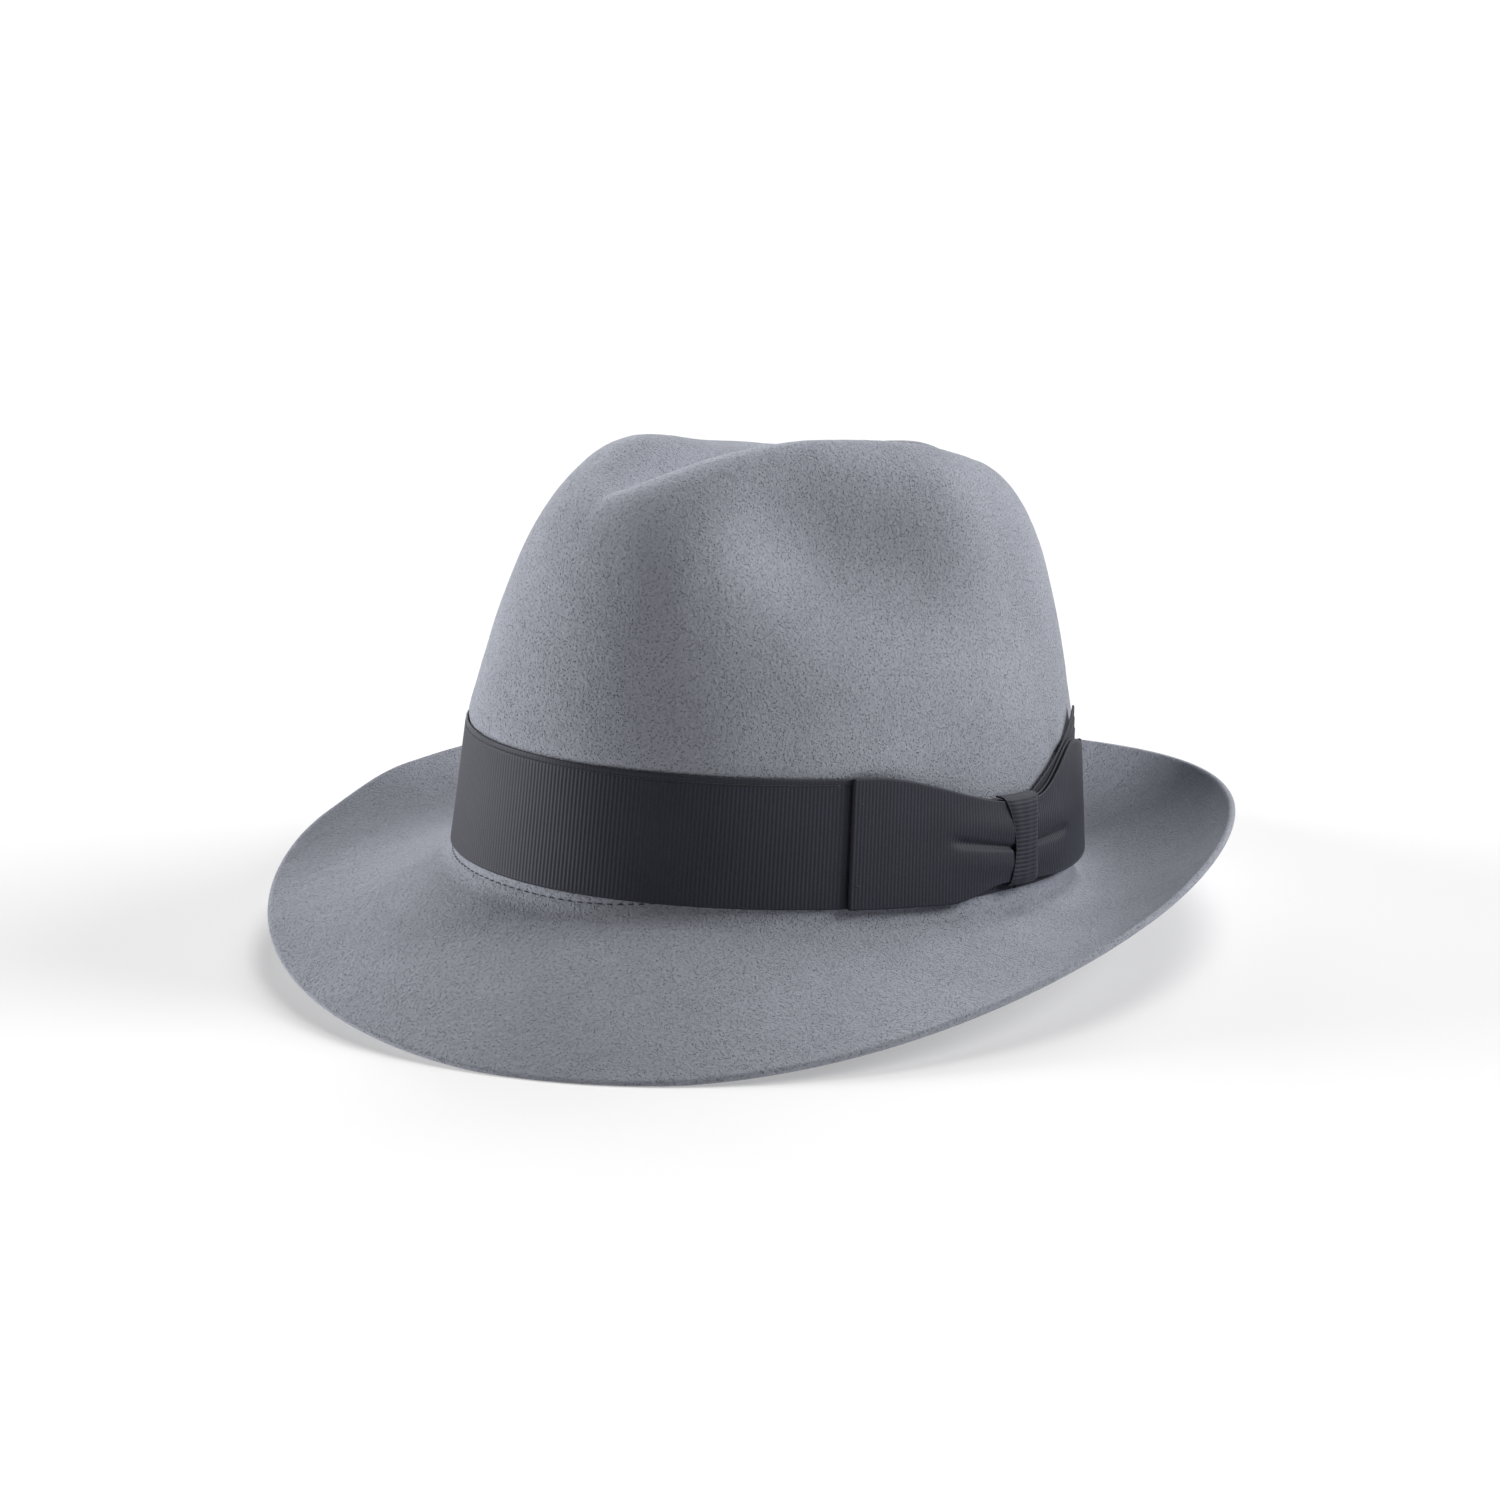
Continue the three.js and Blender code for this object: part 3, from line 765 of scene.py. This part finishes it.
def build_tail(material):
    """The ribbon's free end, which slants up from the knot and is cut in points."""
    theta, along = along_head(KNOT_BACK - 3.0, TAIL_END, RIB / RIB_STEPS)
    t = (theta - theta[0]) / (theta[-1] - theta[0])
    share = np.linspace(0, 1, 97)[:, None]
    point = np.abs((share * TAIL_POINTS) % 1 - 0.5) * 2
    t_cut = t * (1 - POINT_DEPTH * point * smooth((t - 0.6) / 0.4))
    z = mix(mix(*TAIL_BOTTOM, t_cut), mix(*TAIL_TOP, t_cut), share)
    grid = at_ribbon(mix(theta[0], theta[-1], t_cut), BOW_LIFT + CLOTH, z)
    relief = np.ones_like(share) * ribs(along)
    obj = sheet_mesh("bow_tail", grid, CLOTH, relief, uv=flat_places(along, share[:, 0] * TAIL_WIDTH))
    return finish_piece(obj, material, "bow_tail")


def build_knot(material):
    """A ribbon wrapped over the middle of the bow, pinched at its waist."""
    middle = 0.5 * (KNOT_BOTTOM + KNOT_TOP)
    turn = np.linspace(0, 180, 400)
    side = cos_deg(turn)
    wrap_z = middle - (KNOT_TOP - middle) * np.sign(side) * np.abs(side) ** 0.22
    wrap_out = 0.5 + 4.0 * sin_deg(turn) ** 0.3
    step = np.hypot(np.diff(wrap_z), np.diff(wrap_out))
    length = np.concatenate([[0], np.cumsum(step)])
    at = np.linspace(0, length[-1], round(length[-1] / RIB * RIB_STEPS))
    outside, z = np.interp(at, length, wrap_out), np.interp(at, length, wrap_z)
    across = np.linspace(0, 1, 41)
    waist = np.sin(np.pi * np.clip((z - KNOT_BOTTOM) / (KNOT_TOP - KNOT_BOTTOM), 0, 1))[:, None]
    front = KNOT_FRONT - 0.6 * (z[:, None] - middle) / 13 + 1.9 * waist
    back = KNOT_BACK - 0.2 * waist
    edge_drop = 0.8 * np.abs(2 * across - 1) ** 3
    pleats = 0.08 * np.sin(2 * np.pi * (across * 2.6 + 0.15 * np.sin(z[:, None] / 6)))
    grid = at_ribbon(mix(front, back, across), outside[:, None] - edge_drop + pleats, z[:, None])
    relief = ribs(at)[:, None] * np.ones_like(across)
    places = np.stack(np.broadcast_arrays(at[:, None], across[None, :] * KNOT_WIDTH), -1)
    obj = sheet_mesh("bow_knot", grid, CLOTH, relief, uv=places)
    return finish_piece(obj, material, "bow_knot")


def stitch(name, start, end, radius):
    """A short thread between two points, sunk at its ends."""
    t = np.linspace(0, 1, 7)[:, None]
    path = mix(start, end, t)
    return tube_mesh(name, path, radius, sides=6, closed=False)


def build_bow(ribbon, thread):
    front = build_loop("bow_front_loop", ribbon, BAND_SEAM - 0.7, BOW_FRONT, BOW_LIFT,
                       FRONT_RISE, front_edges, FRONT_CREASE)
    rear = build_loop("bow_rear_loop", ribbon, BAND_SEAM + 0.7, BOW_BACK,
                      BOW_LIFT + CLOTH + FOLD_GAP, REAR_RISE, rear_edges, REAR_CREASE)
    tail = build_tail(ribbon)
    knot = build_knot(ribbon)
    tacks = []
    for name, z in TACK_HEIGHTS.items():
        ends = [at_ribbon(np.array(theta), BOW_LIFT + 2 * CLOTH + FOLD_GAP, z)
                for theta in (BOW_FRONT + 0.8, BOW_FRONT + 2)]
        tacks.append(finish_piece(stitch(name, *ends, TACK_RADIUS), thread, name))
    return front, rear, tail, knot, tacks


# ---- lining, sweatband and stitching ---------------------------------------------------------------

def build_lining(material):
    columns, brim_rows, crown_rows = 180, 6, 60
    face = felt_face(columns, brim_rows, crown_rows)
    normals = grid_normals(face, True)
    normals[-1] = (0, 0, 1)
    inside = (face - normals * LINING_DEPTH)[-crown_rows:]
    theta = np.arange(columns) * 360 / columns
    hem = [at_wall(theta, LINING_DEPTH, z) for z in np.linspace(LINING_BOTTOM, 36, 6)]
    split = round(crown_rows * LINING_SEAM)
    side = np.stack([*hem, *inside[:split]])
    band = sheet_mesh("lining_side_band", side, LINING_THICKNESS, ring=True)
    finish_piece(band, material, "lining_side_band")
    start = mix(inside[split - 1], inside[split], 0.5)
    tip = sheet_mesh("lining_tip", np.stack([start, *inside[split:]]), LINING_THICKNESS,
                     ring=True, pole=True)
    finish_piece(tip, material, "lining_tip")
    return band, tip


def build_sweatband(leather, reed, tape, thread):
    theta = np.linspace(180.4, 539.6, 360)
    z = np.linspace(SWEATBAND_BOTTOM, SWEATBAND_TOP, 16)[:, None]
    band = sheet_mesh("sweatband", at_wall(theta, SWEATBAND_DEPTH, z), SWEATBAND_THICKNESS)
    finish_piece(band, leather, "sweatband")

    ring = np.arange(0, 360, 1.0)
    wall = -RIBBON_THICKNESS - GAP
    path = at_head(ring, wall - REED_DEPTH, REED_Z)
    core = tube_mesh("sweatband_reed", path, REED_RADIUS, sides=14)
    finish_piece(core, reed, "sweatband_reed")

    turn = np.linspace(180, 360, 13)[:, None]
    fold = at_head(ring, wall - REED_DEPTH + REED_TAPE_REACH * cos_deg(turn),
                   REED_Z + 0.2 + REED_TAPE_REACH * sin_deg(turn))
    cover = sheet_mesh("reed_tape", fold, REED_TAPE_THICKNESS, ring=True)
    finish_piece(cover, tape, "reed_tape")

    patch = at_wall(np.linspace(*SEAM_TAPE_SIDES, 24), SWEATBAND_DEPTH + SWEATBAND_THICKNESS + GAP,
                    np.linspace(*SEAM_TAPE_ENDS, 40)[:, None])
    seam = sheet_mesh("sweatband_seam_tape", patch, SEAM_TAPE_THICKNESS)
    finish_piece(seam, tape, "sweatband_seam_tape")
    return band, core, cover, seam, build_stitching(thread)


def build_stitching(thread):
    """Separate stitches round the break of the brim, sunk in their groove."""
    theta, _ = along_head(0, 360, STITCH_PITCH, height=0)
    stitches = []
    for start, end in zip(theta[:-1], theta[1:]):
        ends = np.array([start, mix(start, end, STITCH_SHARE)])
        place = fillet_curve(ends, stitch_place(ends))
        a, b = at_head(ends, place[:, 0] + 0.02, place[:, 1] + 0.02)
        stitches.append(stitch("stitch", a, b, STITCH_RADIUS))
    row = join(stitches, "sweatband_stitching")
    return finish_piece(row, thread, "sweatband_stitching")


# ---- floor, lights and camera ----------------------------------------------------------------------

def build_floor():
    mesh = bpy.data.meshes.new("floor")
    half, level = 8.0, -0.0002
    mesh.from_pydata([(-half, -half, level), (half, -half, level), (half, half, level),
                      (-half, half, level)], [], [(0, 1, 2, 3)])
    obj = bpy.data.objects.new("floor", mesh)
    bpy.context.scene.collection.objects.link(obj)
    n = Nodes("pale_floor")
    tone = n.ramp(n.noise(3, 2), (0.3, (0.59, 0.585, 0.585)), (0.7, (0.61, 0.605, 0.605)))
    mesh.materials.append(n.done(tone, Roughness=0.9, Specular_IOR_Level=0.1,
                                 Emission_Color=(1, 1, 1, 1), Emission_Strength=0.34))


def from_angles(azimuth, elevation):
    """Unit vector towards a place seen at that azimuth and elevation, in degrees."""
    level = cos_deg(elevation)
    return np.array([sin_deg(azimuth) * level, -cos_deg(azimuth) * level, sin_deg(elevation)])


def look(obj, place, target):
    obj.location = place
    direction = Vector(target) - Vector(place)
    obj.rotation_euler = direction.to_track_quat("-Z", "Y").to_euler()


def add_sun(name, azimuth, elevation, strength):
    light = bpy.data.lights.new(name, "SUN")
    light.energy = strength
    light.angle = math.radians(SUN_ANGLE)
    obj = bpy.data.objects.new(name, light)
    bpy.context.scene.collection.objects.link(obj)
    look(obj, from_angles(azimuth, elevation) * 2, (0, 0, 0))


def add_world():
    """A dim even light on the hat, and white where the camera sees past the floor."""
    world = bpy.data.worlds.new("studio")
    bpy.context.scene.world = world
    world.use_nodes = True
    tree = world.node_tree
    background = tree.nodes["Background"]
    path = tree.nodes.new("ShaderNodeLightPath")
    level = tree.nodes.new("ShaderNodeMapRange")
    level.inputs["To Min"].default_value = AMBIENT
    level.inputs["To Max"].default_value = 1.0
    tree.links.new(path.outputs["Is Camera Ray"], level.inputs["Value"])
    tree.links.new(level.outputs["Result"], background.inputs["Strength"])
    background.inputs["Color"].default_value = (1, 1, 1, 1)


def add_camera():
    right = np.array([cos_deg(CAMERA_AZIMUTH), sin_deg(CAMERA_AZIMUTH), 0])
    target = (TARGET_SHIFT * right + np.array([0, BACK, TARGET_HEIGHT])) * MM
    away = CAMERA_DISTANCE * MM * from_angles(CAMERA_AZIMUTH, CAMERA_ELEVATION)
    data = bpy.data.cameras.new("photo_angle")
    data.lens, data.sensor_width = LENS, SENSOR_WIDTH
    obj = bpy.data.objects.new("photo_angle", data)
    bpy.context.scene.collection.objects.link(obj)
    look(obj, target + away, target)
    bpy.context.scene.camera = obj


# ---- the scene -------------------------------------------------------------------------------------

felt, grosgrain, thread = felt_material(), grosgrain_material(), thread_material()
leather, satin = leather_material(), satin_material()
tape, reed = tape_material(), reed_material()

hat = build_felt(felt)
band, draw_thread = build_ribbon(grosgrain, thread)
front, rear, tail, knot, tacks = build_bow(grosgrain, thread)
side_lining, tip_lining = build_lining(satin)
sweatband, *sewn_on = build_sweatband(leather, reed, tape, thread)

build_floor()
add_world()
for name, azimuth, elevation, strength in (
    ("left_window", 300, 11, 3.3),
    ("right_softbox", 134, 30, 2.45),
    ("rear_window", 238, 10, 0.8),
    ("rear_softbox", 200, 38, 1.0),
    ("top_softbox", 185, 65, 1.15),
):
    add_sun(name, azimuth, elevation, strength)
add_camera()
bpy.context.scene.view_settings.view_transform = "Standard"
